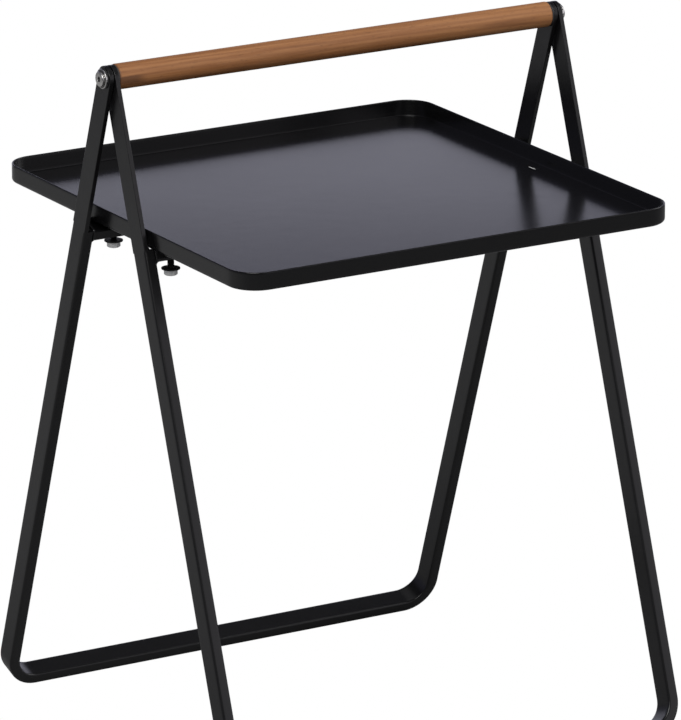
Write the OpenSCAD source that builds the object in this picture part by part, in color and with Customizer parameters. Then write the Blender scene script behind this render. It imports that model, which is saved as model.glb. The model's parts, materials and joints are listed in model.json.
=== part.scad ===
// Folding tray table. Two bent-tube frames swing on the ends of a wooden handle and
// carry a pressed sheet tray between their arms. The tray lies on the frames' crossbars.
// Four studs under it stand in open slots in the crossbars, which stops the frames
// spreading, and a washer and nut on each stud stop the tray lifting far.
// Millimetres, +Z up, +X along the handle. The origin is on the floor, under the middle.

/* [Tray] */
// Outer width of the tray, along the handle
tray_w = 420; // [360:1:520]
// Outer depth of the tray, across the handle
tray_d = 422; // [360:1:520]
// Height of the tray from its underside to the top of its rim
rim_h = 16; // [10:1:40]
// Thickness of the tray's sheet
sheet_t = 1.5; // [1:0.1:2.5]
// Radius of the tray's corners, seen from above
tray_corner_r = 26; // [12:1:60]
// Outside radius of the fold between the floor and the rim
rim_fold_r = 3; // [2.6:0.1:8]
// Length of each drain slot, along the rim
drain_l = 16; // [8:1:40]
// Width of each drain slot
drain_w = 3; // [2:0.5:8]
// Distance from the rim's outer face to the middle of a drain slot
drain_inset = 11.5; // [10:0.5:40]

/* [Frames] */
// Lean of each frame from upright when the table stands open, in degrees
lean = 19; // [14:0.5:26]
// Length of a frame from the pivot to the outside of its foot, along the leg
leg_len = 629; // [480:1:800]
// Distance from the pivot down to the top of the crossbar, along the leg
arm_len = 147.5; // [110:0.5:220]
// Width of the legs, seen from the side of the table
tube_w = 21; // [16:0.5:30]
// Thickness of the tube, across the legs
tube_t = 10; // [8:0.5:16]
// Wall of the tube
tube_wall = 1.5; // [1:0.1:2]
// Radius of the tube's long edges
tube_r = 2; // [0.5:0.1:2.5]
// Inside radius of the bends at the foot
bend_r = 20; // [8:1:60]
// Thickness of the flat arms
arm_t = 4; // [3:0.5:6]
// Radius of the arms' long edges
arm_edge_r = 0.5; // [0.2:0.1:1]
// Thickness of the arm's shoulder, which closes the tube
shoulder_t = 3; // [2:0.5:6]
// Length of the arm's spigot inside the tube
spigot_l = 25; // [10:1:60]
// Radius of the fillet under each end of a crossbar
fillet_r = 4; // [2:0.5:8]
// Gap at each side between the tray and the nearest arm
side_gap = 3.3; // [2:0.1:12]

/* [Handle] */
// Diameter of the wooden handle
handle_d = 22; // [18:0.5:32]
// Rounding of the handle's ends
handle_round = 1.5; // [0.5:0.1:4]
// Outer diameter of the threaded inserts
insert_d = 10; // [9:0.5:12]
// Length of the threaded inserts
insert_l = 22; // [20:1:40]

/* [Pivots] */
// Diameter of the bolts' shoulder, on which the arms turn
shoulder_d = 8; // [6.5:0.5:8.5]
// Diameter of the bolts' thread
thread_d = 6; // [4:0.5:6]
// Length of the bolts' thread
thread_l = 18; // [10:1:19]
// Diameter of the bolts' head
head_d = 13; // [10:0.5:16]
// Height of the bolts' head
head_h = 2.3; // [2:0.1:6]
// Rounding of the rim of the bolts' head
head_round = 0.8; // [0.3:0.1:1.5]
// Width across the flats of the socket in the bolts' head
socket_af = 4; // [3:0.5:6]
// Depth of that socket
socket_h = 1.8; // [1:0.1:2]
// Diameter of the washers on the arms
washer_d = 17; // [14:0.5:20]
// Diameter of the washers against the ends of the handle
spacer_d = 21; // [14:0.5:22]
// Thickness of the steel washer under each head
washer_t = 1.6; // [1:0.1:3]
// Gap held open by each nylon washer
slip_gap = 1; // [0.4:0.1:2]

/* [Studs] */
// Diameter of the tray's studs
stud_d = 6; // [5:0.5:8]
// Distance from the side of the tray to a stud's axis
stud_inset = 22; // [20:0.5:60]
// Length of stud that shows below its nut
stud_tip = 0.8; // [0.6:0.1:4]
// Chamfer at the tip of the studs
stud_chamfer = 0.5; // [0.2:0.1:0.6]
// Diameter of the washer on each stud
catch_d = 16; // [13:0.5:20]
// Thickness of the washer on each stud
catch_t = 1.2; // [0.8:0.1:2]
// Width across the flats of the nuts
nut_af = 10; // [9:0.5:13]
// Diameter of the round lower face inside the nuts' chamfer
nut_face_d = 9.5; // [8:0.1:13]
// Height of the nuts
nut_h = 5; // [3:0.5:8]
// Lift of the tray before its washers meet the crossbars
lift_play = 4.3; // [3:0.1:10]

/* [Clearances] */
// Radial running clearance of the arms on the bolts' shoulder
run_clear = 0.05; // [0.02:0.01:0.1]
// Clearance of parts that are screwed, glued or slipped together
fit_clear = 0.05; // [0.02:0.01:0.2]
// Play at each turning face
face_play = 0.05; // [0.02:0.01:0.1]
// Clearance round a stud in its slot
slot_clear = 0.4; // [0.3:0.1:1]
// Gap between the crossbars and the tray that rests on them
rest_gap = 0.2; // [0.1:0.1:0.5]

/* [Hidden] */
$fn = 64;
// Overlap of pieces joined into one, and reach of a cut past the face it opens
lap = 0.01;
cut = 1;

// Faces across the table, counted from its middle: inner arm, then outer arm
inner_arm_x = tray_w / 2 + side_gap;
outer_arm_x = inner_arm_x + arm_t + slip_gap;
handle_end_x = inner_arm_x - slip_gap;
inner_face_x = inner_arm_x + arm_t;
outer_face_x = outer_arm_x + arm_t;
washer_x = outer_face_x + slip_gap;
head_x = washer_x + washer_t;
slip_t = slip_gap - 2 * face_play;

// Height of the pivots: the foot's rounded edge touches the floor
pivot_z = (leg_len - tube_r) * cos(lean) + (tube_w / 2 - tube_r) * sin(lean) + tube_r;
// Highest and lowest reach of a crossbar below the pivot, at its rounded edges
cross_top = (arm_len + tube_r) * cos(lean) - (tube_w / 2 - tube_r) * sin(lean) - tube_r;
cross_low = (arm_len + tube_t - tube_r) * cos(lean) + (tube_w / 2 - tube_r) * sin(lean) + tube_r;
tray_z = pivot_z - cross_top + rest_gap;

// A stud stands through the middle of its crossbar, with its washer and nut below
stud_x = tray_w / 2 - stud_inset;
stud_y = (arm_len + tube_t / 2) * sin(lean);
slot_r = stud_d / 2 + slot_clear;
catch_z = pivot_z - cross_low - lift_play - catch_t;
nut_z = catch_z - nut_h;
stud_low_z = nut_z - stud_tip;

black = [0.09, 0.09, 0.1];
steel = [0.72, 0.72, 0.7];
nylon = [0.16, 0.16, 0.17];
teak = [0.6, 0.37, 0.2];
brass = [0.75, 0.6, 0.3];

// ---- Flat outlines ----

// Rectangle with true round corners, centred
module rounded_rect(size, r) {
    square([size.x - 2 * r, size.y], center = true);
    square([size.x, size.y - 2 * r], center = true);
    for (sx = [-1, 1], sy = [-1, 1])
        translate([sx * (size.x / 2 - r), sy * (size.y / 2 - r)]) circle(r);
}

// Section of the tube: thickness along x, width along y
module tube_section() {
    difference() {
        rounded_rect([tube_t, tube_w], tube_r);
        square([tube_t - 2 * tube_wall, tube_w - 2 * tube_wall], center = true);
    }
}

// Straight slot with round ends, long along y
module slot_outline(length, width) {
    square([width, length - width], center = true);
    for (s = [-1, 1]) translate([0, s * (length - width) / 2]) circle(width / 2);
}

// Half section of the tray at its edge, from the corner's centre out to the rim's face
module rim_section() {
    fold_c = [tray_corner_r - rim_fold_r, rim_fold_r];
    square([fold_c.x, sheet_t]);
    translate([tray_corner_r - sheet_t, rim_fold_r]) square([sheet_t, rim_h - rim_fold_r - sheet_t / 2]);
    translate([tray_corner_r - sheet_t / 2, rim_h - sheet_t / 2]) circle(sheet_t / 2);
    translate(fold_c) intersection() {
        difference() {
            circle(rim_fold_r);
            circle(rim_fold_r - sheet_t);
        }
        translate([0, -rim_fold_r]) square(rim_fold_r);
    }
}

// ---- Tray ----

// Pressed tray: floor, four straight rims and four round corners, all one sheet
module tray() {
    straight_x = tray_w - 2 * tray_corner_r;
    straight_y = tray_d - 2 * tray_corner_r;
    color(black) translate([0, 0, tray_z]) difference() {
        union() {
            translate([-straight_x / 2, -straight_y / 2, 0]) cube([straight_x, straight_y, sheet_t]);
            for (s = [0, 180]) rotate([0, 0, s]) {
                translate([straight_x / 2, straight_y / 2, 0])
                    rotate([90, 0, 0]) linear_extrude(straight_y) rim_section();
                translate([-straight_x / 2, straight_y / 2, 0])
                    rotate([90, 0, 90]) linear_extrude(straight_x) rim_section();
                translate([straight_x / 2, straight_y / 2, 0])
                    rotate_extrude(angle = 90) rim_section();
                translate([-straight_x / 2, straight_y / 2, 0])
                    rotate([0, 0, 90]) rotate_extrude(angle = 90) rim_section();
            }
        }
        for (s = [-1, 1])
            translate([s * (tray_w / 2 - drain_inset), 0, -cut])
                linear_extrude(sheet_t + 2 * cut) slot_outline(drain_l, drain_w);
    }
}

// Puts something at a stud; sx is -1 for left, 1 for right, sy is -1 for front, 1 for back
module at_stud(sx, sy) {
    translate([sx * stud_x, sy * stud_y, 0]) children();
}

// Threaded stud welded under the tray, with a chamfered tip
module tray_stud(sx, sy) {
    color(black) at_stud(sx, sy) rotate_extrude() polygon([
        [0, stud_low_z], [stud_d / 2 - stud_chamfer, stud_low_z],
        [stud_d / 2, stud_low_z + stud_chamfer], [stud_d / 2, tray_z], [0, tray_z]]);
}

// Wide washer on the nut, which catches the crossbar when the tray is lifted
module stud_washer(sx, sy) {
    color(black) at_stud(sx, sy) ring(catch_z, catch_t, catch_d, stud_d + 2 * fit_clear);
}

// Hexagon nut with its lower corners chamfered
module stud_nut(sx, sy) {
    corner_d = nut_af / cos(30);
    turned_r = corner_d / 2 + cut;
    chamfer_h = (turned_r - nut_face_d / 2) * tan(30);
    color(steel) at_stud(sx, sy) difference() {
        intersection() {
            translate([0, 0, nut_z]) rotate([0, 0, 30]) cylinder(d = corner_d, h = nut_h, $fn = 6);
            rotate_extrude() polygon([
                [0, nut_z - cut], [0, nut_z], [nut_face_d / 2, nut_z],
                [turned_r, nut_z + chamfer_h], [turned_r, nut_z + nut_h + cut], [0, nut_z + nut_h + cut]]);
        }
        translate([0, 0, nut_z - cut]) cylinder(d = stud_d + 2 * fit_clear, h = nut_h + 2 * cut);
    }
}

// ---- Handle and pivots, drawn for the right end; the left end is the same turned half round ----

// Turned wooden bar with rounded ends and a blind bore in each for its insert
module handle_dowel() {
    bore_l = insert_l + fit_clear;
    color(teak) translate([0, 0, pivot_z]) rotate([0, 90, 0]) difference() {
        rotate_extrude() intersection() {
            rounded_rect([handle_d, 2 * handle_end_x], handle_round);
            translate([0, -handle_end_x]) square([handle_d, 2 * handle_end_x]);
        }
        for (s = [-1, 1])
            translate([0, 0, s * (handle_end_x + (cut - bore_l) / 2)])
                cylinder(d = insert_d + 2 * fit_clear, h = bore_l + cut, center = true);
    }
}

// Puts something drawn along +Z on the pivot axis; side is 1 for right, -1 for left
module on_pivot(side) {
    translate([0, 0, pivot_z]) rotate([0, side * 90, 0]) children();
}

module ring(from, thick, outer_d, inner_d) {
    translate([0, 0, from]) difference() {
        cylinder(d = outer_d, h = thick);
        translate([0, 0, -cut]) cylinder(d = inner_d, h = thick + 2 * cut);
    }
}

module handle_insert(side) {
    color(brass) on_pivot(side)
        ring(handle_end_x - insert_l, insert_l, insert_d, thread_d + 2 * fit_clear);
}

// Socket-head shoulder bolt: thread in the insert, shoulder through both arms
module pivot_bolt(side) {
    color(steel) on_pivot(side) difference() {
        union() {
            translate([0, 0, handle_end_x - thread_l]) cylinder(d = thread_d, h = thread_l);
            translate([0, 0, handle_end_x]) cylinder(d = shoulder_d, h = head_x - handle_end_x);
            translate([0, 0, head_x]) rotate_extrude() {
                square([head_d / 2, head_h - head_round]);
                square([head_d / 2 - head_round, head_h]);
                translate([head_d / 2 - head_round, head_h - head_round]) circle(head_round);
            }
        }
        translate([0, 0, head_x + head_h - socket_h])
            cylinder(d = socket_af / cos(30), h = socket_h + cut, $fn = 6);
    }
}

module outer_washer(side) {
    color(steel) on_pivot(side) ring(washer_x, washer_t, washer_d, shoulder_d + 2 * fit_clear);
}

// Nylon washer that lies on the outer side of the face at x
module nylon_washer(side, x, outer_d) {
    color(nylon) on_pivot(side) ring(x + face_play, slip_t, outer_d, shoulder_d + 2 * fit_clear);
}

module bearing_washer(side) {
    nylon_washer(side, outer_face_x, washer_d);
}

module middle_washer(side) {
    nylon_washer(side, inner_face_x, washer_d);
}

module inner_washer(side) {
    nylon_washer(side, handle_end_x, spacer_d);
}

// ---- Frames ----
// A frame is drawn hanging straight down from the pivot, with its outer leg on the left.
// half_turn is 0 for the back frame and 180 for the front one.

module place_frame(half_turn) {
    rotate([0, 0, half_turn]) translate([0, 0, pivot_z]) rotate([lean, 0, 0]) children();
}

// Bent tube: two legs, two bends and the foot between them, in one length
module leg_tube(half_turn) {
    bend_mid = bend_r + tube_t / 2;
    left_x = -outer_face_x + tube_t / 2;
    right_x = inner_face_x - tube_t / 2;
    leg_top = -arm_len - shoulder_t;
    bend_z = -leg_len + tube_t / 2 + bend_mid;
    color(black) place_frame(half_turn) {
        for (x = [left_x, right_x])
            translate([x, 0, bend_z]) linear_extrude(leg_top - bend_z) tube_section();
        translate([left_x + bend_mid, 0, bend_z]) rotate([90, 180, 0])
            rotate_extrude(angle = 90) translate([bend_mid, 0]) tube_section();
        translate([right_x - bend_mid, 0, bend_z]) rotate([90, 90, 0])
            rotate_extrude(angle = 90) translate([bend_mid, 0]) tube_section();
        translate([left_x + bend_mid, 0, -leg_len + tube_t / 2]) rotate([0, 90, 0])
            linear_extrude(right_x - left_x - 2 * bend_mid) tube_section();
    }
}

// Crossbar between the legs, with a fillet under each end and an open slot for each stud.
// The slots are cut upright as the table stands, from the outer face to past the middle.
module crossbar(half_turn) {
    left_x = -outer_face_x + tube_t;
    right_x = inner_face_x - tube_t;
    color(black) difference() {
        place_frame(half_turn) {
            translate([left_x, 0, -arm_len - tube_t / 2]) rotate([0, 90, 0])
                linear_extrude(right_x - left_x) tube_section();
            translate([left_x, 0, -arm_len - tube_t]) end_fillet();
            translate([right_x, 0, -arm_len - tube_t]) mirror([1, 0, 0]) end_fillet();
        }
        rotate([0, 0, half_turn]) for (s = [-1, 1])
            translate([s * stud_x, stud_y, pivot_z - cross_low - cut])
                linear_extrude(cross_low - cross_top + 2 * cut) {
                    circle(slot_r);
                    translate([-slot_r, 0]) square([2 * slot_r, tube_w]);
                }
    }
}

// Fillet under the left end of a crossbar, in the corner at the origin
module end_fillet() {
    rotate([90, 0, 0]) translate([0, 0, -tube_w / 2 + tube_r]) linear_extrude(tube_w - 2 * tube_r)
        difference() {
            translate([0, -fillet_r]) square([fillet_r, fillet_r + tube_wall / 2]);
            translate([fillet_r, -fillet_r]) circle(fillet_r);
        }
}

// Flat arm with a round pivot end, a shoulder on the tube and a spigot inside it.
// x0 is the arm's inner-side face and tube_x the middle of its leg.
module arm(half_turn, x0, tube_x) {
    inner_t = tube_t - 2 * tube_wall - 2 * fit_clear;
    inner_w = tube_w - 2 * tube_wall - 2 * fit_clear;
    color(black) place_frame(half_turn) difference() {
        union() {
            translate([x0 + arm_t / 2, 0, -arm_len])
                linear_extrude(arm_len) rounded_rect([arm_t, tube_w], arm_edge_r);
            translate([x0 + arm_t / 2, 0, 0]) rotate([0, 90, 0]) rotate_extrude() intersection() {
                rounded_rect([tube_w, arm_t], arm_edge_r);
                translate([0, -arm_t]) square([tube_w, 2 * arm_t]);
            }
            translate([tube_x, 0, -arm_len - shoulder_t])
                linear_extrude(shoulder_t) rounded_rect([tube_t, tube_w], tube_r);
            translate([tube_x, 0, -arm_len - shoulder_t - spigot_l])
                linear_extrude(spigot_l + lap) square([inner_t, inner_w], center = true);
        }
        translate([x0 - cut, 0, 0]) rotate([0, 90, 0])
            cylinder(d = shoulder_d + 2 * run_clear, h = arm_t + 2 * cut);
    }
}

module outer_arm(half_turn) {
    arm(half_turn, -outer_face_x, -outer_face_x + tube_t / 2);
}

module inner_arm(half_turn) {
    arm(half_turn, inner_arm_x, inner_face_x - tube_t / 2);
}

tray();
tray_stud(-1, 1);  // tray_stud_back_left
tray_stud(1, 1);  // tray_stud_back_right
tray_stud(-1, -1);  // tray_stud_front_left
tray_stud(1, -1);  // tray_stud_front_right
stud_washer(-1, 1);  // stud_washer_back_left
stud_washer(1, 1);  // stud_washer_back_right
stud_washer(-1, -1);  // stud_washer_front_left
stud_washer(1, -1);  // stud_washer_front_right
stud_nut(-1, 1);  // stud_nut_back_left
stud_nut(1, 1);  // stud_nut_back_right
stud_nut(-1, -1);  // stud_nut_front_left
stud_nut(1, -1);  // stud_nut_front_right
handle_dowel();
handle_insert(-1);  // handle_insert_left
handle_insert(1);  // handle_insert_right
pivot_bolt(-1);  // pivot_bolt_left
pivot_bolt(1);  // pivot_bolt_right
outer_washer(-1);  // outer_washer_left
outer_washer(1);  // outer_washer_right
bearing_washer(-1);  // bearing_washer_left
bearing_washer(1);  // bearing_washer_right
middle_washer(-1);  // middle_washer_left
middle_washer(1);  // middle_washer_right
inner_washer(-1);  // inner_washer_left
inner_washer(1);  // inner_washer_right
leg_tube(0);  // back_leg_tube
crossbar(0);  // back_crossbar
outer_arm(0);  // back_arm_left
inner_arm(0);  // back_arm_right
leg_tube(180);  // front_leg_tube
crossbar(180);  // front_crossbar
inner_arm(180);  // front_arm_left
outer_arm(180);  // front_arm_right
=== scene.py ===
"""Looks of the folding tray table: its turned, bent and pressed pieces, their finishes, light and camera.

Metres, +Z up, +X along the handle, in the frame's own axes. The new pieces stand for nodes of the
frame and ride on those nodes' bodies. Beads of weld are added, which ride on the leg frames.
"""

import json
import math

import bmesh
import bpy
import numpy as np
from mathutils import Matrix, Vector

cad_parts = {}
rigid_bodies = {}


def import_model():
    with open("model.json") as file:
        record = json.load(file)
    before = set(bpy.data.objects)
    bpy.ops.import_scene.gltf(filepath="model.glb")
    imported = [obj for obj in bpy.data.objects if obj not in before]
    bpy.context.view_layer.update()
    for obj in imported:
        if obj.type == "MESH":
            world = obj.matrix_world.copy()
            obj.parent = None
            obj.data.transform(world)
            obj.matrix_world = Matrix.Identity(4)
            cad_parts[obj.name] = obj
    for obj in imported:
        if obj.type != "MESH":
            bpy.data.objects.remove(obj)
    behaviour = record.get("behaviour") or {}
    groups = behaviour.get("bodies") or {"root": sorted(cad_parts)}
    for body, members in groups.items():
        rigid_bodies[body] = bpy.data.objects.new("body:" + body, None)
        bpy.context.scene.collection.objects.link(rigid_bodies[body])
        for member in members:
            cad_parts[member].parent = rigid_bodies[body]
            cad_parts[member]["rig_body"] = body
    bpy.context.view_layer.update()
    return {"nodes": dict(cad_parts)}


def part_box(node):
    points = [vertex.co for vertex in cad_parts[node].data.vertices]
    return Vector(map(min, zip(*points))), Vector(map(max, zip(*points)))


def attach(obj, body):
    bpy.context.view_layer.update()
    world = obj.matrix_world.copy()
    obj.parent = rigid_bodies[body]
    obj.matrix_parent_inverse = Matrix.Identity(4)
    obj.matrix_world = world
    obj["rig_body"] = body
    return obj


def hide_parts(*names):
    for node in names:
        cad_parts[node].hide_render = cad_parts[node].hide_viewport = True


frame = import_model()
MM = 0.001
TURN = 2 * math.pi

# ---------------------------------------------------------------------------------------------
# Sizes and shares that the frame's boxes don't give, as the makers of the parts would state them
# ---------------------------------------------------------------------------------------------
SHEET = 1.5 * MM
RIM_FOLD = 3 * MM
POOLED_FOLD = 0.6 * MM
TRAY_CORNER = 26 * MM
TRAY_CROWN = 0.25 * MM
DRAIN_LENGTH, DRAIN_WIDTH, DRAIN_INSET, DRAIN_LIP = 16 * MM, 3 * MM, 11.5 * MM, 0.25 * MM
LEAN = math.radians(19)
ARM_LENGTH, ARM_THICK = 147.5 * MM, 4 * MM
ARM_SHOULDER = 3 * MM
LEG_LENGTH = 629 * MM
TUBE_THICK, TUBE_WIDE, TUBE_EDGE = 10 * MM, 21 * MM, 2 * MM
BEND_INSIDE = 20 * MM
BEND_THINNING, BEND_WIDENING = 0.035, 0.012
BAR_WELD, BAR_WELD_ON_TOP, BAR_RIPPLE = 0.6 * MM, 0.9 * MM, 0.05 * MM
BAR_WELD_SPREAD, BAR_WELD_INSET = 1.1, 0.1 * MM
ARM_WELD, ARM_RIPPLE = 2.9 * MM, 0.08 * MM
ARM_WELD_ASIDE, ARM_WELD_UP = 1.05, 1.5
PUDDLE = 1.7 * MM
FIT = 0.05 * MM
HANDLE_ROUND = 1.5 * MM
BORE, BORE_DEPTH, BORE_CHAMFER = 5 * MM + FIT, 22 * MM, 0.3 * MM
SANDING = 0.03 * MM
PITCH, THREAD_DEPTH, THREAD_R = 1.0 * MM, 0.55 * MM, 3 * MM
SHOULDER_R, THREAD_STOP = 4 * MM, 0.6 * MM
BREAK = 0.25 * MM
HEAD_ROUND = 0.8 * MM
SOCKET_FLATS, SOCKET_DEPTH = 4 * MM, 1.8 * MM
SOCKET_CHAMFER, SOCKET_LEAD = 0.15 * MM, 0.12 * MM
STUD_POINT, STUD_CHAMFER = 2.2 * MM, 0.45 * MM
STUD_NECK, STUD_NECK_CONE = 1.0 * MM, 0.2 * MM
NUT_FACE, NUT_CHAMFER = 0.95, 0.4 * MM

ENDS = {"left": -1, "right": 1}
SIDES = {"back": 1, "front": -1}


def extent(node):
    """Lowest and highest corner of a frame node, as arrays."""
    low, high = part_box(node)
    return np.array(low), np.array(high)


handle_low, handle_high = extent("handle_dowel")
tray_low, tray_high = extent("tray")
PIVOT = np.array([0.0, 0.0, (handle_low[2] + handle_high[2]) / 2])
HANDLE_R = (handle_high[2] - handle_low[2]) / 2
HANDLE_END = handle_high[0]
HEAD_R = (extent("pivot_bolt_left")[1] - extent("pivot_bolt_left")[0])[2] / 2
OUTER_WASHER_R = (extent("outer_washer_left")[1] - extent("outer_washer_left")[0])[2] / 2


# ---------------------------------------------------------------------------------------------
# Meshes from arrays
# ---------------------------------------------------------------------------------------------
def mesh_from(name, points, quads):
    """Mesh of an array of points and an array of four-cornered faces. Points that coincide are
    welded, which closes seams and poles, and the faces of the closed shell are turned outwards."""
    mesh = bpy.data.meshes.new(name)
    mesh.vertices.add(len(points))
    mesh.vertices.foreach_set("co", np.asarray(points, np.float32).ravel())
    mesh.loops.add(quads.size)
    mesh.loops.foreach_set("vertex_index", quads.astype(np.int32).ravel())
    mesh.polygons.add(len(quads))
    mesh.polygons.foreach_set("loop_start", np.arange(0, quads.size, 4, dtype=np.int32))
    mesh.update(calc_edges=True)
    shell = bmesh.new()
    shell.from_mesh(mesh)
    bmesh.ops.remove_doubles(shell, verts=shell.verts, dist=1e-7)
    bmesh.ops.recalc_face_normals(shell, faces=shell.faces)
    shell.to_mesh(mesh)
    shell.free()
    return mesh


def lattice(rows, columns):
    """Faces of a grid of points numbered row by row, whose last column joins its first."""
    number = np.arange(rows * columns).reshape(rows, columns)
    beside = np.roll(number, -1, axis=1)
    return np.stack([number[:-1], beside[:-1], beside[1:], number[1:]], -1).reshape(-1, 4)


def piece(name, body, mesh, finish, sharp=35):
    """Adds a mesh as a piece of that name, smooth but for edges sharper than so many degrees."""
    mesh.shade_smooth()
    mesh.set_sharp_from_angle(angle=math.radians(sharp))
    mesh.materials.append(finish)
    made = bpy.data.objects.new(name, mesh)
    bpy.context.scene.collection.objects.link(made)
    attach(made, body)
    return made


def stand_in(node, mesh, finish, sharp=35):
    """Adds a mesh as the piece that stands for a node of the frame and rides on its body."""
    made = piece(node + "_made", frame["nodes"][node]["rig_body"], mesh, finish, sharp)
    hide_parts(node)


def arc(centre, radius, start, end, steps):
    """Points (first, second) of a circle's arc, its angle running evenly from start to end, in degrees."""
    angle = np.radians(np.linspace(start, end, steps))
    return np.stack([centre[0] + radius * np.cos(angle), centre[1] + radius * np.sin(angle)], -1)


def turned(name, rows, centre, axis, columns):
    """Surface round an axis. A row is (along, radius), numbers or arrays over the columns, and its
    points lie at centre + along axis + radius (cos t, sin t) across it, t going once round."""
    t = np.arange(columns) * TURN / columns
    axis = np.array(axis, float)
    across = np.array([0.0, 1.0, 0.0]) if abs(axis[1]) < 0.5 else np.array([1.0, 0.0, 0.0])
    third = np.cross(axis, across)
    spokes = np.cos(t)[:, None] * across + np.sin(t)[:, None] * third
    along = np.array([np.broadcast_to(a, columns) for a, _ in rows])
    radius = np.array([np.broadcast_to(r, columns) for _, r in rows])
    grid = np.array(centre) + along[..., None] * axis + radius[..., None] * spokes
    return mesh_from(name, grid.reshape(-1, 3), lattice(len(rows), columns))


def rounded_loop(half_x, half_y, radius, per_corner, shares_x, shares_y):
    """Closed loop round a rectangle with round corners: for each point its corner centre or side
    point (the place inside) and the unit vector out from it, so place + radius * out is the loop.
    The shares, from 0 to 1, say where points lie along the sides that run in x and in y."""
    places, outs = [], []
    inner = np.array([half_x - radius, half_y - radius])
    corners = inner * np.array([[1, 1], [-1, 1], [-1, -1], [1, -1]])
    for k, corner in enumerate(corners):
        angle = np.radians(np.linspace(90 * k, 90 * k + 90, per_corner))
        places.append(np.repeat(corner[None], per_corner, 0))
        outs.append(np.stack([np.cos(angle), np.sin(angle)], -1))
        following = corners[(k + 1) % 4]
        share = (shares_x, shares_y)[k % 2][1:-1, None]
        places.append(corner + (following - corner) * share)
        outs.append(np.repeat(outs[-1][-1][None], len(share), 0))
    return np.concatenate(places), np.concatenate(outs)


# ---------------------------------------------------------------------------------------------
# Finishes
# ---------------------------------------------------------------------------------------------
class Field:
    """A value that varies over a surface: a shader socket that takes part in Python arithmetic."""

    def __init__(self, finish, socket):
        self.finish, self.socket = finish, socket

    def maths(self, kind, *values):
        return self.finish.node("ShaderNodeMath", {"operation": kind}, dict(enumerate(values)))

    def __add__(self, other):
        return self.maths("ADD", self, other)

    def __sub__(self, other):
        return self.maths("SUBTRACT", self, other)

    def __rsub__(self, other):
        return self.maths("SUBTRACT", other, self)

    def __mul__(self, other):
        return self.maths("MULTIPLY", self, other)

    def __pow__(self, other):
        return self.maths("POWER", self, other)

    __radd__, __rmul__ = __add__, __mul__

    def most(self, other):
        return self.maths("MAXIMUM", self, other)

    def wave(self):
        """Its sine, from 0 to 1."""
        return self.maths("SINE", self) * 0.5 + 0.5

    def between(self, low, high):
        """0 below low, 1 above high and a smooth step from one to the other between them."""
        settings = {"interpolation_type": "SMOOTHSTEP"}
        inputs = {"Value": self, "From Min": low, "From Max": high}
        return self.finish.node("ShaderNodeMapRange", settings, inputs)


class Finish:
    """The nodes of a material or a world under construction. Every node comes from node()."""

    def __init__(self, owner, coordinates="Object"):
        self.owner = owner
        owner.use_nodes = True
        self.tree = owner.node_tree
        self.tree.nodes.clear()
        self.place = self.node("ShaderNodeTexCoord", out=coordinates)

    def node(self, kind, settings=None, inputs=None, out=0):
        """Adds a node: its settings first, then its sockets' values or links. Returns an output."""
        made = self.tree.nodes.new(kind)
        for key, value in (settings or {}).items():
            setattr(made, key, value)
        for key, value in (inputs or {}).items():
            socket = made.inputs[key]
            if isinstance(value, Field):
                self.tree.links.new(value.socket, socket)
            elif isinstance(value, tuple) and len(value) == 3 and socket.type == "RGBA":
                socket.default_value = (*value, 1.0)
            else:
                socket.default_value = value
        return Field(self, made.outputs[out]) if made.outputs else None

    def mapped(self, scale, moved):
        """The place on the piece, moved and then stretched by scale along each axis."""
        centred = self.node("ShaderNodeMapping", None, {"Vector": self.place, "Location": moved})
        return self.node("ShaderNodeVectorMath", {"operation": "MULTIPLY"}, {0: centred, 1: scale})

    def noise(self, scale, detail, roughness=0.5, at=None):
        inputs = {"Vector": at or self.place, "Scale": scale, "Detail": detail, "Roughness": roughness}
        return self.node("ShaderNodeTexNoise", None, inputs)

    def axes(self, vector):
        split = self.node("ShaderNodeSeparateXYZ", None, {0: vector})
        return split, *(Field(self, split.socket.node.outputs[k]) for k in (1, 2))

    def blend(self, share, first, second):
        """Colour that goes from first to second as share goes from 0 to 1."""
        return self.node("ShaderNodeMix", {"data_type": "RGBA"}, {0: share, 6: first, 7: second}, 2)

    def bump(self, height, strength, distance, under=None):
        inputs = {"Height": height, "Strength": strength, "Distance": distance}
        if under:
            inputs["Normal"] = under
        return self.node("ShaderNodeBump", None, inputs)

    def close(self, **sockets):
        """Sets the surface's sockets, named with underscores for spaces, and returns the material."""
        inputs = {key.replace("_", " "): value for key, value in sockets.items()}
        shader = self.node("ShaderNodeBsdfPrincipled", None, inputs)
        self.node("ShaderNodeOutputMaterial", None, {"Surface": shader})
        return self.owner


def finish(name):
    """An empty material of that name, to be given nodes."""
    return Finish(bpy.data.materials.new(name))


def powder_coat(name, colour, roughness, specular, texture):
    """Baked powder: near black, with a fine orange-peel skin, faint cloudy gloss and dust. The
    texture is 1 for a plain coat and less for a smoother one."""
    f = finish(name)
    cloud = f.noise(scale=9.0, detail=3.0)
    grit = f.noise(scale=2600.0, detail=1.0)
    speck = f.noise(scale=420.0, detail=2.0).between(0.70, 0.78)
    lighter = tuple(c * 1.5 for c in colour)
    dust = (0.06, 0.06, 0.063)
    base = f.blend(cloud * 0.5 + grit * 0.35, colour, lighter)
    base = f.blend(speck * (0.08 * texture), base, dust)
    peel = f.noise(scale=700.0, detail=2.0, roughness=0.45)
    swell = f.noise(scale=60.0, detail=1.0)
    skin = f.bump(peel, strength=0.10 * texture, distance=0.6 * MM)
    skin = f.bump(swell, strength=0.05 * texture, distance=2 * MM, under=skin)
    rough = roughness + ((cloud - 0.5) * 0.10 + (grit - 0.5) * 0.10 + speck * 0.12) * texture
    return f.close(Base_Color=base, Roughness=rough, Normal=skin, Specular_IOR_Level=specular)


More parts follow.
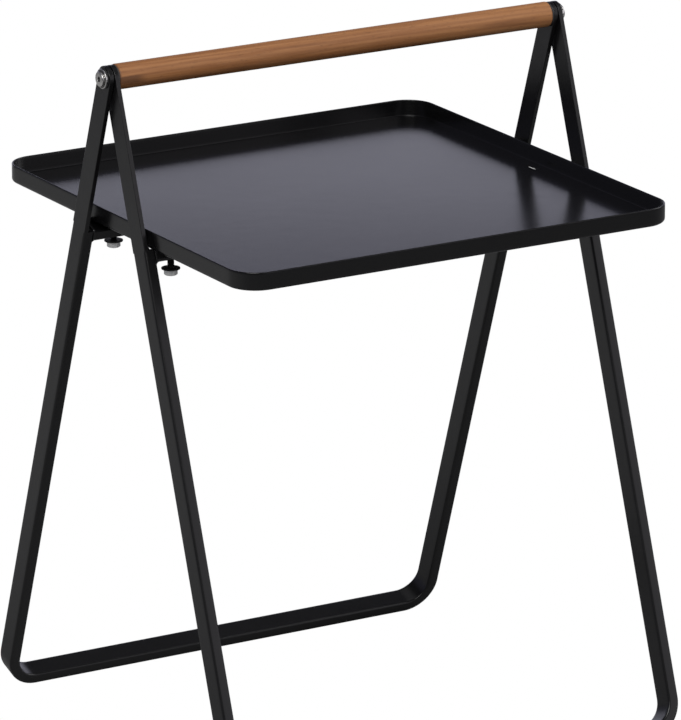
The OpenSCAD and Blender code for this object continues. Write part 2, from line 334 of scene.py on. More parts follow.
def teak():
    """Oiled teak turned on a lathe: growth rings in layers about 33 degrees from level, which run out
    slowly along the bar, dark streaks and open pores. The wood runs lighter towards the right end, and
    a short dark streak of heartwood runs in from the left end, just below the middle of the front.
    The ends, where the bar meets the arms, are painted darker as painted shade."""
    f = finish("oiled_teak")
    pale, middle, light = (0.35, 0.155, 0.060), (0.25, 0.096, 0.031), (0.42, 0.185, 0.068)
    late_wood, dark, heart_wood = (0.18, 0.064, 0.021), (0.120, 0.040, 0.014), (0.075, 0.030, 0.016)
    fibre_pale, pore_dark, oiled_and_shaded = (0.42, 0.21, 0.095), (0.09, 0.035, 0.015), (0.11, 0.048, 0.022)
    ring_width = 4.2 * MM
    heart_drop, heart_slope = 11.5 * MM, 0.05
    core_squared, edge_squared = 0.000002, 0.00002
    centred = tuple(-PIVOT)
    x, y, z = f.axes(f.mapped((1.0, 1.0, 1.0), centred))
    drift = f.noise(1.0, 2.0, at=f.mapped((5.0, 30.0, 30.0), centred))
    layers = (z * 0.84 + y * 0.54 + x * 0.018 + drift * 0.011) * (TURN / ring_width)
    ring = layers.wave() ** 1.6
    streak = f.noise(1.0, 4.0, 0.6, f.mapped((9.0, 420.0, 420.0), centred))
    broad = f.noise(1.0, 2.0, at=f.mapped((6.0, 110.0, 110.0), (0.4, 0.2, centred[2])))
    fibre = f.noise(1.0, 2.0, 0.6, f.mapped((60.0, 2600.0, 2600.0), centred))
    pores = f.noise(1.0, 1.0, at=f.mapped((170.0, 2300.0, 2300.0), centred)).between(0.66, 0.74)
    warm = f.blend(streak.between(0.3, 0.7), middle, pale)
    warm = f.blend(x.between(0.03, 0.2) * 0.55, warm, light)
    warm = f.blend(ring * 0.35, warm, late_wood)
    warm = f.blend(broad.between(0.54, 0.70) * 0.6, warm, dark)
    off_heart = z + (streak - 0.5) * 0.010 + x * heart_slope + heart_drop
    in_heart = 1 - (off_heart * off_heart).between(core_squared, edge_squared)
    near_left = 1 - x.between(-0.199, -0.184)
    in_front = 1 - y.between(-2 * MM, 2 * MM)
    warm = f.blend(in_heart * near_left * in_front * 0.75, warm, heart_wood)
    warm = f.blend(fibre.between(0.35, 0.7) * 0.18, warm, fibre_pale)
    warm = f.blend(pores * 0.55, warm, pore_dark)
    # Painted shade: each end, by the arms, is painted darker, fading in over its last 1.7 mm.
    shaded_ends = (x * x).between((HANDLE_END - 1.7 * MM) ** 2, (HANDLE_END - 0.5 * MM) ** 2)
    warm = f.blend(shaded_ends * 0.6, warm, oiled_and_shaded)
    height = fibre * 0.25 + streak * 0.35 - pores * 0.9
    rough = 0.42 + ring * 0.08 + fibre * 0.10 + pores * 0.2
    grain = f.bump(height, strength=0.35, distance=0.4 * MM)
    return f.close(Base_Color=warm, Roughness=rough, Normal=grain, Specular_IOR_Level=0.35)


def turned_steel():
    """Bright turned steel: fine lathe rings round the pivots' axis and faint handling marks. The
    washers' faces round the heads and the sockets' hollows are painted dark and rougher as painted shade;
    the washers' rims are left out of it and stay bright."""
    f = finish("turned_steel")
    _, y, z = f.axes(f.mapped((1.0, 1.0, 1.0), tuple(-PIVOT)))
    radius = (y * y + z * z) ** 0.5
    lathe_step = 0.22 * MM
    # Out from this radius the washer's rim is left out of the painted shade and keeps the bright steel
    # colour.
    rubbed = OUTER_WASHER_R - 0.9 * MM
    rings = (radius * (TURN / lathe_step)).wave()
    marks = f.noise(scale=900.0, detail=3.0, roughness=0.6)
    base = f.blend(marks.between(0.3, 0.8), (0.66, 0.65, 0.63), (0.80, 0.79, 0.77))
    past_head = radius.between(HEAD_R - 0.1 * MM, HEAD_R + 0.1 * MM)
    # Painted shade: the washer's face round the head and the socket's hollow are painted dark.
    shaded_face = past_head * (1 - radius.between(rubbed, rubbed + 0.4 * MM))
    shaded_socket = 1 - radius.between(SOCKET_FLATS / 2, SOCKET_FLATS / 2 + 0.4 * MM)
    painted_shade = (0.03, 0.03, 0.032)
    base = f.blend(shaded_face * 0.8 + shaded_socket * 0.85, base, painted_shade)
    rough = 0.10 + marks * 0.10 + rings * 0.04 + (shaded_face + shaded_socket) * 0.25
    relief = f.bump(rings, strength=0.12, distance=0.04 * MM)
    return f.close(Base_Color=base, Metallic=1.0, Roughness=rough, Normal=relief)


def zinc_plate():
    """Bright zinc on steel: a pale blotchy film over fine machining marks."""
    f = finish("zinc_plate")
    blotch = f.noise(scale=500.0, detail=2.0, roughness=0.6)
    fine = f.noise(scale=4000.0, detail=2.0)
    base = f.blend(blotch.between(0.35, 0.7), (0.86, 0.86, 0.84), (0.72, 0.735, 0.75))
    rough = 0.22 + blotch * 0.14 + fine * 0.06
    relief = f.bump(fine, strength=0.08, distance=0.1 * MM)
    return f.close(Base_Color=base, Metallic=0.45, Roughness=rough, Normal=relief)


def black_oxide():
    """Blackened steel: dull grey-black, with small places rubbed back to bare metal."""
    f = finish("black_oxide")
    blotch = f.noise(scale=380.0, detail=3.0, roughness=0.6)
    rubbed = f.noise(scale=1500.0, detail=2.0, roughness=0.6).between(0.64, 0.74)
    base = f.blend(blotch, (0.012, 0.012, 0.013), (0.035, 0.035, 0.037))
    base = f.blend(rubbed * 0.35, base, (0.16, 0.155, 0.15))
    rough = 0.36 + blotch * 0.16 - rubbed * 0.08
    relief = f.bump(blotch, strength=0.12, distance=0.2 * MM)
    return f.close(Base_Color=base, Metallic=0.55, Roughness=rough, Normal=relief)


def black_nylon():
    """Moulded nylon: matt, with a fine spark-eroded grain."""
    f = finish("black_nylon")
    grain = f.noise(scale=5200.0, detail=2.0)
    base = f.blend(grain, (0.020, 0.020, 0.021), (0.034, 0.034, 0.036))
    relief = f.bump(grain, strength=0.15, distance=0.1 * MM)
    return f.close(Base_Color=base, Roughness=0.5 + grain * 0.15, Normal=relief)


def insert_brass():
    """Machined brass with a thin brown film."""
    f = finish("machined_brass")
    film = f.noise(scale=300.0, detail=3.0)
    base = f.blend(film, (0.62, 0.44, 0.19), (0.76, 0.58, 0.30))
    return f.close(Base_Color=base, Metallic=1.0, Roughness=0.3 + film * 0.15)


PAN_BLACK = powder_coat(
    "pan_powder_coat", (0.0030, 0.0030, 0.0033), roughness=0.20, specular=0.46, texture=0.35)
TUBE_BLACK = powder_coat(
    "tube_powder_coat", (0.0030, 0.0029, 0.0032), roughness=0.30, specular=0.48, texture=1.0)
TEAK, BRIGHT, ZINC = teak(), turned_steel(), zinc_plate()
OXIDE, NYLON, BRASS = black_oxide(), black_nylon(), insert_brass()
NODE_FINISH = {
    "coated_sheet": PAN_BLACK,
    "coated_tube": TUBE_BLACK,
    "black_steel": OXIDE,
    "zinc_steel": ZINC,
    "bright_steel": BRIGHT,
    "insert_brass": BRASS,
    "nylon": NYLON,
    "teak_wood": TEAK,
}
for node in frame["nodes"].values():
    for held in node.material_slots:
        held.material = NODE_FINISH[held.material.name.split(".")[0]]


# ---------------------------------------------------------------------------------------------
# Tray: one pressed sheet with a folded rim, round corners and two drain slots
# ---------------------------------------------------------------------------------------------
def tray():
    """Closed skin of the pressed sheet. A profile (depth in from the rim's face, height) is carried
    round a rectangle with round corners: its point at depth d is place + (corner radius - d) out.
    Past the corners' centres the floor is that rectangle of centres drawn in towards the middle.
    At the slots the grid's lines are a millimetre apart along a slot and a quarter of its width
    apart across it. Two patches of the grid are left out, their edges drawn onto the slots'
    outlines, and walls join the upper and lower edges. The floor is crowned: it rises towards the
    middle by 1 minus the square of the share of the way out, in x times in y."""
    half = (tray_high - tray_low)[:2] / 2
    rim = tray_high[2] - tray_low[2]
    slot_half = np.array([DRAIN_WIDTH, DRAIN_LENGTH]) / 2
    reach = half[1] - TRAY_CORNER
    fine = np.arange(-12, 13) * MM
    coarse = np.linspace(fine[-1], reach, 24)[1:]
    side_y = (np.concatenate([-coarse[::-1], fine, coarse]) + reach) / (2 * reach)
    side_x = np.linspace(0, 1, 61)
    place, out = rounded_loop(*half, TRAY_CORNER, 15, side_x, side_y)

    pooled = SHEET + POOLED_FOLD
    near = DRAIN_INSET + np.arange(-4, 5) * DRAIN_WIDTH / 4
    beside_fold, towards_corners = RIM_FOLD + np.array([1.2, 2.5]) * MM, np.array([17, 21]) * MM
    floor_depth = np.concatenate([beside_fold, near, towards_corners])
    draw_in = np.array([1.0, 0.98, 0.94, 0.88, 0.8, 0.7, 0.6, 0.5, 0.4, 0.3, 0.2, 0.1, 0.0])
    fold_out = arc((RIM_FOLD, RIM_FOLD), RIM_FOLD, 270, 180, 9)
    edge = arc((SHEET / 2, rim - SHEET / 2), SHEET / 2, 180, 0, 9)
    fold_in = arc((pooled, pooled), POOLED_FOLD, 180, 270, 7)
    rise = np.linspace(0.15, 0.85, 4)[:, None]
    outer = fold_out[-1] + (edge[0] - fold_out[-1]) * rise
    inner = edge[-1] + (fold_in[0] - edge[-1]) * rise
    below = np.stack([floor_depth[::-1], np.zeros(len(floor_depth))], -1)
    above = np.stack([floor_depth, np.full(len(floor_depth), SHEET)], -1)
    profile = np.concatenate([below, fold_out, outer, edge, inner, fold_in, above])

    rings = [(place * s, 0.0) for s in draw_in[::-1]]
    rings += [(place + out * (TRAY_CORNER - d), z) for d, z in profile]
    rings += [(place * s, SHEET) for s in draw_in]
    flat = np.array([xy for xy, _ in rings])
    height = np.array([np.broadcast_to(z, len(place)) for _, z in rings])
    grid = np.concatenate([flat, height[..., None]], -1)

    inset = half[0] - np.abs(grid[..., 0])
    from_slot = np.stack([inset - DRAIN_INSET, grid[..., 1]], -1)
    tiny = 1e-6
    on_floor = (np.abs(grid[..., 1]) < half[1] - TRAY_CORNER) & (height <= SHEET)
    patch = on_floor & (np.abs(from_slot) <= slot_half + tiny).all(-1)
    core = on_floor & (np.abs(from_slot) < slot_half - tiny).all(-1)
    border = patch & ~core
    end = np.clip(from_slot[..., 1], -(slot_half[1] - slot_half[0]), slot_half[1] - slot_half[0])
    spoke = np.stack([from_slot[..., 0], from_slot[..., 1] - end], -1)
    spoke /= np.maximum(np.linalg.norm(spoke, axis=-1, keepdims=True), tiny)

    def slot_edge(radius):
        """The grid with its border points drawn onto a slot outline of this end radius."""
        x = np.sign(grid[..., 0]) * (half[0] - DRAIN_INSET - spoke[..., 0] * radius)
        drawn = np.stack([x, end + spoke[..., 1] * radius, grid[..., 2]], -1)
        return np.where(border[..., None], drawn, grid)

    rows, columns = height.shape
    faces = lattice(rows, columns)
    inside = patch.ravel()[faces].all(-1)
    cut, kept = faces[inside], faces[~inside]
    outline = slot_edge(slot_half[0] + DRAIN_LIP)
    throat = slot_edge(slot_half[0])
    throat[..., 2] += np.where(height > SHEET / 2, -DRAIN_LIP, DRAIN_LIP)
    count = rows * columns
    upper_cut = cut[height.ravel()[cut[:, 0]] > SHEET / 2]
    edges = np.concatenate([upper_cut[:, [k, (k + 1) % 4]] for k in range(4)])
    ordered = np.sort(edges, axis=1)
    _, first, times = np.unique(ordered, axis=0, return_index=True, return_counts=True)
    upper_edges = edges[first[times == 1]]
    lower_edges = (rows - 1 - upper_edges // columns) * columns + upper_edges % columns
    top_from, top_to = upper_edges.T
    base_from, base_to = lower_edges.T
    near_top = np.stack([top_from, top_to, top_to + count, top_from + count], -1)
    wall = np.stack([top_from + count, top_to + count, base_to + count, base_from + count], -1)
    near_base = np.stack([base_from + count, base_to + count, base_to, base_from], -1)
    points = np.concatenate([outline.reshape(-1, 3), throat.reshape(-1, 3)])
    share = np.clip(1 - np.abs(points[:, :2]) / (half - RIM_FOLD), 0, 1)
    points[:, 2] += tray_low[2] + TRAY_CROWN * np.prod(1 - (1 - share) ** 2, axis=1)
    return mesh_from("tray", points, np.concatenate([kept, near_top, wall, near_base]))


# ---------------------------------------------------------------------------------------------
# Leg tubes, each a flat tube bent to a U, and the beads of weld on them
# ---------------------------------------------------------------------------------------------
def leg_tube(side):
    """A rounded oblong section carried along two legs, two quarter bends and the foot between them.
    In a bend the section changes by a share that runs as the sine, squared, of twice the angle
    turned, so most in the middle of the bend: a little thinner through the bend and a little
    wider across it, as a tube that is drawn round a former."""
    turn = SIDES[side]
    low, high = extent(side + "_leg_tube")
    faces = sorted([low[0] * turn, high[0] * turn])
    left, right = faces[0] + TUBE_THICK / 2, faces[1] - TUBE_THICK / 2
    radius = BEND_INSIDE + TUBE_THICK / 2
    foot, top = -LEG_LENGTH + TUBE_THICK / 2, -ARM_LENGTH - ARM_SHOULDER
    quarter = np.linspace(0, math.pi / 2, 19)[:, None]
    round_left = np.concatenate([-np.cos(quarter), -np.sin(quarter)], 1)
    round_right = np.concatenate([np.sin(quarter), -np.cos(quarter)], 1)
    bend_left = [left + radius, foot + radius] + radius * round_left
    bend_right = [right - radius, foot + radius] + radius * round_right
    leg = np.linspace(top, foot + radius, 40)[:-1, None]
    base = np.linspace(left + radius, right - radius, 34)[1:-1, None]
    leg_left = np.concatenate([np.full_like(leg, left), leg], 1)
    leg_right = np.concatenate([np.full_like(leg, right), leg[::-1]], 1)
    between = np.concatenate([base, np.full_like(base, foot)], 1)
    middle = np.concatenate([leg_left, bend_left, between, bend_right, leg_right])
    in_bend = np.sin(2 * quarter[:, 0]) ** 2
    straight, flat = np.zeros(len(leg)), np.zeros(len(base))
    swell = np.concatenate([straight, in_bend, flat, in_bend, straight])
    heading = np.gradient(middle, axis=0)
    heading /= np.linalg.norm(heading, axis=1, keepdims=True)
    normal = np.stack([heading[:, 1], -heading[:, 0]], -1)

    along_thick, along_wide = np.linspace(0, 1, 4), np.linspace(0, 1, 8)
    place, out = rounded_loop(TUBE_THICK / 2, TUBE_WIDE / 2, TUBE_EDGE, 7, along_thick, along_wide)
    section = place + out * TUBE_EDGE
    thick = section[:, 0] * (1 - BEND_THINNING * swell[:, None])
    wide = section[:, 1] * (1 + BEND_WIDENING * swell[:, None])
    x = middle[:, :1] + normal[:, :1] * thick
    z = middle[:, 1:] + normal[:, 1:] * thick
    grid = np.stack([x, np.broadcast_to(wide, x.shape), z], -1)
    caps = [ring.mean(1, keepdims=True).repeat(grid.shape[1], 1) for ring in (grid[:1], grid[-1:])]
    capped = np.concatenate([caps[0], grid, caps[1]])
    return mesh_from(side + "_leg_tube", hung(capped, turn).reshape(-1, 3), lattice(*capped.shape[:2]))


def hung(points, turn):
    """Points of a frame drawn straight down from the pivot, leaned out, and turned half round for
    the front frame: y, z turn by the lean about the pivots, then x, y change sign with turn."""
    x, y, z = points[..., 0], points[..., 1], points[..., 2]
    leaned = y * math.cos(LEAN) - z * math.sin(LEAN)
    lifted = y * math.sin(LEAN) + z * math.cos(LEAN)
    return np.stack([x * turn, leaned * turn, lifted + PIVOT[2]], -1)


def crossbar_weld(side, end):
    """Bead of weld under the coat where a crossbar meets a leg: a rounded loop round the bar's
    section, at the leg's face, carries a small ellipse, a little wider along the bar than across
    it, whose size ripples with each puddle. It is thickest on top, and ground down there to the
    height of the bar, so that the tray lies flat."""
    turn = SIDES[side]
    low, high = extent(side + "_crossbar")
    faces = sorted([low[0] * turn, high[0] * turn])
    face = faces[0] if ENDS[end] * turn < 0 else faces[1]
    along_wide, along_thick = np.linspace(0, 1, 34), np.linspace(0, 1, 16)
    place, out = rounded_loop(TUBE_WIDE / 2, TUBE_THICK / 2, TUBE_EDGE, 12, along_wide, along_thick)
    loop = place + out * TUBE_EDGE
    step = np.linalg.norm(np.roll(loop, -1, 0) - loop, axis=1)
    along = np.concatenate([[0], np.cumsum(step)[:-1]])
    puddles = round(step.sum() / PUDDLE)
    ripple = np.cos(along / step.sum() * TURN * puddles)
    radius = BAR_WELD + BAR_WELD_ON_TOP * np.clip(out[:, 1], 0, 1) + BAR_RIPPLE * ripple
    t = np.arange(12) * TURN / 12
    inward = 1.0 if face < 0 else -1.0
    x = face + np.cos(t)[:, None] * radius * BAR_WELD_SPREAD + inward * BAR_WELD_INSET
    off = out[None] * (np.sin(t)[:, None] * radius)[..., None]
    across = loop[None] + off
    grid = np.stack([x, across[..., 0], across[..., 1] - ARM_LENGTH - TUBE_THICK / 2], -1)
    points = hung(np.concatenate([grid, grid[:1]]), turn)
    points[..., 2] = np.minimum(points[..., 2], high[2])
    return mesh_from(f"{side}_weld_{end}", points.reshape(-1, 3), lattice(*points.shape[:2]))


def arm_weld(side, end):
    """Bead of weld in the corner between an arm's inner face and the top of its leg. Along the
    corner it carries an upright ellipse whose size falls to nothing at both ends, with the root of
    1 minus the eighth power of the share of the way out, and ripples with each puddle."""
    turn = SIDES[side]
    low, high = extent(f"{side}_arm_{end}")
    face = (low[0] + ARM_THICK if end == "left" else high[0] - ARM_THICK) * turn
    inward = -math.copysign(1.0, face)
    half = TUBE_WIDE / 2 - TUBE_EDGE / 2
    share = np.cos(np.linspace(0, math.pi, 61))
    along = share * half
    ripple = np.cos(along * TURN / PUDDLE)
    radius = (ARM_WELD + ARM_RIPPLE * ripple) * np.sqrt(1 - share**8)
    t = np.arange(24) * TURN / 24
    x = face + inward * radius[:, None] * np.cos(t) * ARM_WELD_ASIDE
    z = -ARM_LENGTH + radius[:, None] * np.sin(t) * ARM_WELD_UP
    grid = np.stack([x, np.broadcast_to(along[:, None], x.shape), z], -1)
    return mesh_from(f"{side}_arm_weld_{end}", hung(grid, turn).reshape(-1, 3), lattice(*grid.shape[:2]))


# ---------------------------------------------------------------------------------------------
# Turned and threaded pieces
# ---------------------------------------------------------------------------------------------
def hexagon(flats, columns):
    """Distance from a hexagon's middle to its side, over the columns of a turn."""
    angle = (np.arange(columns) * TURN / columns + math.pi / 6) % (math.pi / 3) - math.pi / 6
    return flats / 2 / np.cos(angle)


def thread(start, end, radius, columns, direction=1):
    """Rows of a screw thread: the radius falls from its crest by a groove with a flat root and
    straight flanks, which moves one pitch along for each turn and fades out over the first and
    last pitch. Direction 1 is a right-hand thread and -1 a left-hand one."""
    along = np.arange(start, end, PITCH / 8)
    turn = np.arange(columns) / columns
    phase = (along[:, None] / PITCH - direction * turn) % 1.0
    root_share, flank_share = 0.12, 0.78
    climb = np.clip((np.abs(phase - 0.5) * 2 - root_share) / flank_share, 0, 1)
    run_out = np.clip(np.minimum(along - start, end - along) / PITCH, 0, 1)[:, None]
    return list(zip(along, radius - THREAD_DEPTH * (1 - climb) * run_out))


def handle():
    """Turned bar: from the floor of one end's bore, round the end and along the barrel to the
    other. The barrel thins by a few hundredths of a millimetre in slow waves, as hand sanding
    leaves it."""
    face_ring = HANDLE_R * 0.7

    def end(sign):
        rounding = arc((HANDLE_END - HANDLE_ROUND, HANDLE_R - HANDLE_ROUND), HANDLE_ROUND, 0, 90, 9)
        rows = [(HANDLE_END - BORE_DEPTH, 0.0), (HANDLE_END - BORE_DEPTH, BORE)]
        rows += [(HANDLE_END - BORE_CHAMFER, BORE), (HANDLE_END, BORE + BORE_CHAMFER)]
        rows += [(HANDLE_END, face_ring)]
        return [(sign * a, r) for a, r in rows] + [(sign * a, r) for a, r in rounding]

    along = np.linspace(-1, 1, 181)[1:-1] * (HANDLE_END - HANDLE_ROUND)
    short_wave, long_wave = np.sin(along * 41 + 0.4), np.sin(along * 17)
    sanding = SANDING * (short_wave * long_wave - 1)
    rows = end(-1) + list(zip(along, HANDLE_R + sanding)) + end(1)[::-1]
    return turned("handle_dowel", rows, PIVOT, (1, 0, 0), 96)


def pivot_bolt(end):
    """Shoulder bolt: thread, shoulder, round head with a chamfered hexagon socket. Round rows turn
    about the pivots' axis, and the socket's rows take a hexagon's radius instead. The right bolt
    has a right-hand thread and the left bolt a left-hand one."""
    low, high = extent("pivot_bolt_" + end)
    columns = 96
    tip, crown = sorted([abs(low[0]), abs(high[0])])
    under = max(abs(face[0]) for face in extent("outer_washer_" + end))
    socket = hexagon(SOCKET_FLATS, columns)
    lead = np.maximum(socket, SOCKET_FLATS / 2 / math.cos(math.pi / 6) + SOCKET_CHAMFER)
    floor, floor_edge = crown - SOCKET_DEPTH, socket * 0.9
    rows = [(tip, 0.0), (tip, THREAD_R - 2 * BREAK), (tip + 2 * BREAK, THREAD_R - BREAK / 2)]
    rows += thread(tip + 2 * BREAK, HANDLE_END - THREAD_STOP, THREAD_R, columns, ENDS[end])
    rows += [(HANDLE_END, THREAD_R - BREAK), (HANDLE_END, SHOULDER_R - BREAK)]
    rows += [(HANDLE_END + BREAK, SHOULDER_R)]
    rows += [(under, SHOULDER_R), (under, HEAD_R - BREAK), (under + BREAK, HEAD_R)]
    rows += [tuple(p) for p in arc((crown - HEAD_ROUND, HEAD_R - HEAD_ROUND), HEAD_ROUND, 90, 0, 9)]
    rows += [(crown, lead + SOCKET_LEAD), (crown - SOCKET_CHAMFER, lead)]
    rows += [(crown - 3 * SOCKET_CHAMFER, socket)]
    rows += [(floor + BREAK, socket), (floor, floor_edge), (floor, 0.0)]
    return turned("pivot_bolt_" + end, rows, PIVOT, (ENDS[end], 0, 0), columns)


def washer_rows(base, top, bore, outside, soft, burr):
    """Rows of a stamped washer: the edge on the punch's side is drawn in softly, the other is crisp."""
    rolled = arc((top - soft, outside - soft), soft, 90, 0, 7)
    crisp = arc((base + burr, outside - burr), burr, 180, 90, 4)
    drawn = arc((top - burr, bore + burr), burr, 0, -90, 4)
    return [(base, bore), *map(tuple, crisp), *map(tuple, rolled), *map(tuple, drawn), (base, bore)]


def outer_washer(end):
    """Stamped steel washer under a bolt's head, its soft edge outwards."""
    low, high = extent("outer_washer_" + end)
    near, far = sorted([abs(low[0]), abs(high[0])])
    rows = washer_rows(near, far, SHOULDER_R + FIT, OUTER_WASHER_R, soft=0.55 * MM, burr=0.15 * MM)
    return turned("outer_washer_" + end, rows, PIVOT, (ENDS[end], 0, 0), 96)


def at_corner(side, end):
    """The place on the floor under a corner's stud, and the heights of the stud's tip and root."""
    stud_low, stud_high = extent(f"tray_stud_{side}_{end}")
    middle = (stud_low + stud_high) / 2
    return np.array([middle[0], middle[1], 0.0]), stud_low[2], stud_high[2]


def tray_stud(side, end):
    """Threaded stud with a chamfered tip, its thread running out just below the tray."""
    centre, tip, root = at_corner(side, end)
    rows = [(tip, 0.0), (tip, STUD_POINT), (tip + STUD_CHAMFER, THREAD_R - BREAK)]
    rows += thread(tip + STUD_CHAMFER, root - STUD_NECK - STUD_NECK_CONE, THREAD_R, 48)
    rows += [(root - STUD_NECK, THREAD_R), (root, THREAD_R), (root, 0.0)]
    return turned(f"tray_stud_{side}_{end}", rows, centre, (0, 0, 1), 48)


def stud_washer(side, end):
    """Wide stamped washer, its soft edge down."""
    name = f"stud_washer_{side}_{end}"
    low, high = extent(name)
    radius = (high[0] - low[0]) / 2
    rows = washer_rows(-high[2], -low[2], THREAD_R + FIT, radius, soft=0.4 * MM, burr=0.12 * MM)
    centre, _, _ = at_corner(side, end)
    return turned(name, rows, centre, (0, 0, -1), 72)


def stud_nut(side, end):
    """Hexagon nut: where a cone of 30 degrees meets the flats, the chamfer's edge lies at a height
    that follows the hexagon's radius, so it is a row of its own with a height for each column."""
    name = f"stud_nut_{side}_{end}"
    low, high = extent(name)
    columns = 96
    across = np.roll(hexagon(high[0] - low[0], columns), columns // 12)
    face = (high[0] - low[0]) / 2 * NUT_FACE
    chamfer = (across - face) * math.tan(math.radians(30))
    bore = THREAD_R + FIT
    base, top = low[2], high[2]
    rows = [(top - NUT_CHAMFER, bore), (base + NUT_CHAMFER, bore), (base, bore + NUT_CHAMFER)]
    rows += [(base, face), (base + chamfer, across), (top - chamfer, across), (top, face)]
    rows += [(top, bore + NUT_CHAMFER), (top - NUT_CHAMFER, bore)]
    centre, _, _ = at_corner(side, end)
    return turned(name, rows, centre, (0, 0, 1), columns)


stand_in("tray", tray(), PAN_BLACK)
stand_in("handle_dowel", handle(), TEAK)
for side in SIDES:
    stand_in(side + "_leg_tube", leg_tube(side), TUBE_BLACK)
    for end in ENDS:
        corner = side + "_" + end
        on_frame = side + "_frame"
        bar_bead, arm_bead = crossbar_weld(side, end), arm_weld(side, end)
        piece(f"{side}_weld_{end}", on_frame, bar_bead, TUBE_BLACK, sharp=80)
        piece(f"{side}_arm_weld_{end}", on_frame, arm_bead, TUBE_BLACK, sharp=80)
        stand_in("tray_stud_" + corner, tray_stud(side, end), OXIDE, sharp=50)
        stand_in("stud_washer_" + corner, stud_washer(side, end), OXIDE)
        stand_in("stud_nut_" + corner, stud_nut(side, end), ZINC, sharp=20)
for end in ENDS:
    stand_in("pivot_bolt_" + end, pivot_bolt(end), BRIGHT, sharp=28)
    stand_in("outer_washer_" + end, outer_washer(end), BRIGHT)

# ---------------------------------------------------------------------------------------------
# Floor, light and camera
# ---------------------------------------------------------------------------------------------
DIFFUSE_SKY = (0.55, 0.55, 0.55)
FRONT_SKY, LEFT_SKY = (0.78, 0.76, 0.81), (0.10, 0.10, 0.105)
BACK_SKY, HIGH_SKY = (0.175, 0.175, 0.24), (0.03, 0.03, 0.035)
CEILING = (0.40, 0.40, 0.42)
LEFT_TO_FRONT, FRONT_TO_BACK = (-0.2, 0.35), (-0.5, 0.3)
LOW_TO_HIGH, HIGH_TO_CEILING = (0.35, 0.58), (0.80, 0.95)
# The ground's greys are painted light: a lit pool near the table and painted shade round it.
FLOOR_PAINTED_LIGHT, FLOOR_PAINTED_SHADE = (0.45, 0.45, 0.455), (0.20, 0.20, 0.205)
FLOOR_FAR_PAINTED_SHADE = (0.10, 0.10, 0.105)
DARK_TO_LIGHT, POOL_EDGE = (-0.5, 1.6), (2.4, 3.4)
LIGHTER_WAY = (-0.49, 0.82)
FLOOR_REACH = 6.0
WHITE = (1.0, 1.0, 1.0)


def studio():
    """White sky and grey ground. Rays from the camera see the white sky, through the ground too, so
    that feet which fold down past it still show. All other rays meet the ground, whose grey is a
    painted pool of light: lighter towards the back and the left, with painted shade towards the
    front and right and far away. The sky is plain for diffuse rays. Glossy rays see it bright in
    front on the right, dim in front on the left and at the back, dark higher up, and grey overhead."""
    floor = bpy.data.meshes.new("studio_floor")
    reach = FLOOR_REACH
    corners = [(-reach, -reach, 0), (reach, -reach, 0), (reach, reach, 0), (-reach, reach, 0)]
    floor.from_pydata(corners, [], [(0, 1, 2, 3)])
    f = finish("pale_floor")
    ray = f.node("ShaderNodeLightPath", out="Is Camera Ray")
    x, y, _ = f.axes(f.place)
    away = (x * x + y * y) ** 0.5
    lighter = y * LIGHTER_WAY[1] + x * LIGHTER_WAY[0]
    # Painted light on the ground: lighter towards the back and left, painted shade towards the front and
    # right and far away.
    grey = f.blend(lighter.between(*DARK_TO_LIGHT), FLOOR_PAINTED_SHADE, FLOOR_PAINTED_LIGHT)
    grey = f.blend(away.between(*POOL_EDGE), grey, FLOOR_FAR_PAINTED_SHADE)
    lit = f.node("ShaderNodeBsdfDiffuse", None, {"Color": grey})
    clear = f.node("ShaderNodeBsdfTransparent")
    seen = f.node("ShaderNodeMixShader", None, {0: ray, 1: lit, 2: clear})
    f.node("ShaderNodeOutputMaterial", None, {"Surface": seen})
    floor.materials.append(f.owner)
    made = bpy.data.objects.new("studio_floor", floor)
    bpy.context.scene.collection.objects.link(made)

    world = bpy.data.worlds.new("studio")
    bpy.context.scene.world = world
    sky = Finish(world, "Generated")
    path = sky.node("ShaderNodeLightPath", out="Is Camera Ray")
    kinds = path.socket.node.outputs
    through, mirrored = (Field(sky, kinds[k]) for k in ("Is Transmission Ray", "Is Glossy Ray"))
    plain = path.most(through)
    aside, depth, height = sky.axes(sky.place)
    shine = sky.blend(aside.between(*LEFT_TO_FRONT), LEFT_SKY, FRONT_SKY)
    shine = sky.blend(depth.between(*FRONT_TO_BACK), shine, BACK_SKY)
    shine = sky.blend(height.between(*LOW_TO_HIGH), shine, HIGH_SKY)
    shine = sky.blend(height.between(*HIGH_TO_CEILING), shine, CEILING)
    open_sky = sky.blend(plain, DIFFUSE_SKY, WHITE)
    glow = sky.node("ShaderNodeBackground", None, {"Color": sky.blend(mirrored, open_sky, shine)})
    sky.node("ShaderNodeOutputWorld", None, {"Surface": glow})


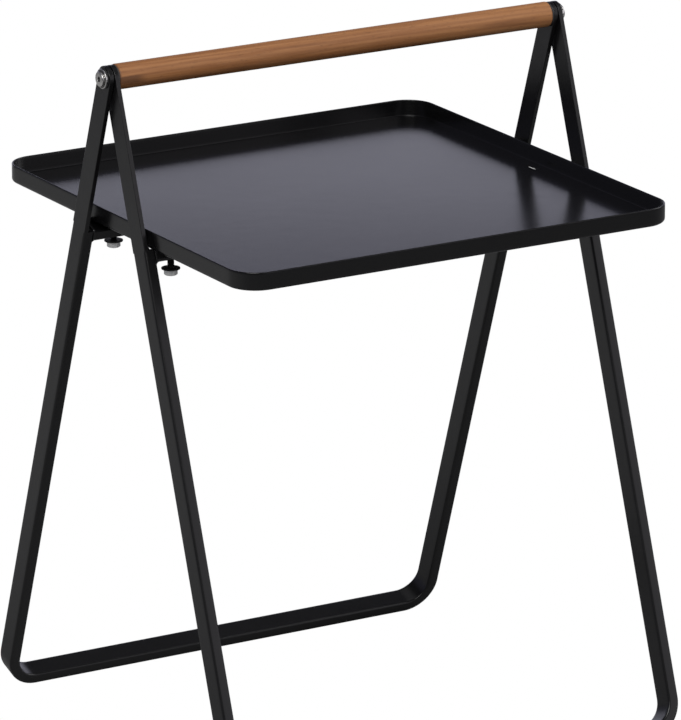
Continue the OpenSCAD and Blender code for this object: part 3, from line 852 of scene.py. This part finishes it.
def softbox(name, place, aim, width, height, power):
    """Oblong lamp at place, facing aim."""
    lamp = bpy.data.lights.new(name, "AREA")
    lamp.shape, lamp.size, lamp.size_y, lamp.energy = "RECTANGLE", width, height, power
    made = bpy.data.objects.new(name, lamp)
    bpy.context.scene.collection.objects.link(made)
    made.location = place
    made.rotation_mode = "QUATERNION"
    made.rotation_quaternion = (Vector(aim) - Vector(place)).to_track_quat("-Z", "Y")
    return made


VIEW_AZIMUTH, VIEW_ELEVATION, VIEW_ROLL = -30.51, 16.85, -0.09
VIEW_DISTANCE, VIEW_LENS, SENSOR = 5.692, 331.1, 36.0
AIM_ASIDE, AIM_DOWN = 5.4 * MM, 279.7 * MM
CLIP_NEAR, CLIP_FAR = 0.5, 40.0


def camera():
    """Long lens at the angle from which the table is shown: back is the unit vector from the aim
    point to the camera, at azimuth and elevation, and roll turns the picture about it."""
    azimuth, elevation, roll = (math.radians(a) for a in (VIEW_AZIMUTH, VIEW_ELEVATION, VIEW_ROLL))
    aim = Vector(PIVOT) + Vector((AIM_ASIDE, 0.0, -AIM_DOWN))
    level = math.cos(elevation)
    back = Vector((math.sin(azimuth) * level, -math.cos(azimuth) * level, math.sin(elevation)))
    right = Vector((math.cos(azimuth), math.sin(azimuth), 0.0))
    up = back.cross(right)
    across = right * math.cos(roll) + up * math.sin(roll)
    upward = up * math.cos(roll) - right * math.sin(roll)
    place = aim + back * VIEW_DISTANCE
    made = bpy.data.objects.new("camera", bpy.data.cameras.new("camera"))
    bpy.context.scene.collection.objects.link(made)
    made.data.lens, made.data.sensor_width = VIEW_LENS, SENSOR
    made.data.clip_start, made.data.clip_end = CLIP_NEAR, CLIP_FAR
    turn = Matrix((across, upward, back)).transposed()
    made.matrix_world = Matrix.Translation(place) @ turn.to_4x4()
    bpy.context.scene.camera = made


studio()
LAMP_AIM = (0, 0, 0.4)
softbox("key", place=(-1.6, -1.8, 2.6), aim=LAMP_AIM, width=1.8, height=1.8, power=60)
softbox("fill", place=(2.2, -0.6, 1.8), aim=LAMP_AIM, width=1.6, height=1.6, power=18)
sheen = softbox(
    "backdrop_sheen", place=(0.87, 1.48, 0.50), aim=(0, 0, 0.50), width=3.0, height=0.98, power=6.1)
sheen.data.color = (0.88, 0.88, 1.0)
sheen.visible_diffuse = sheen.visible_camera = False
camera()
bpy.context.scene.view_settings.view_transform = "Standard"
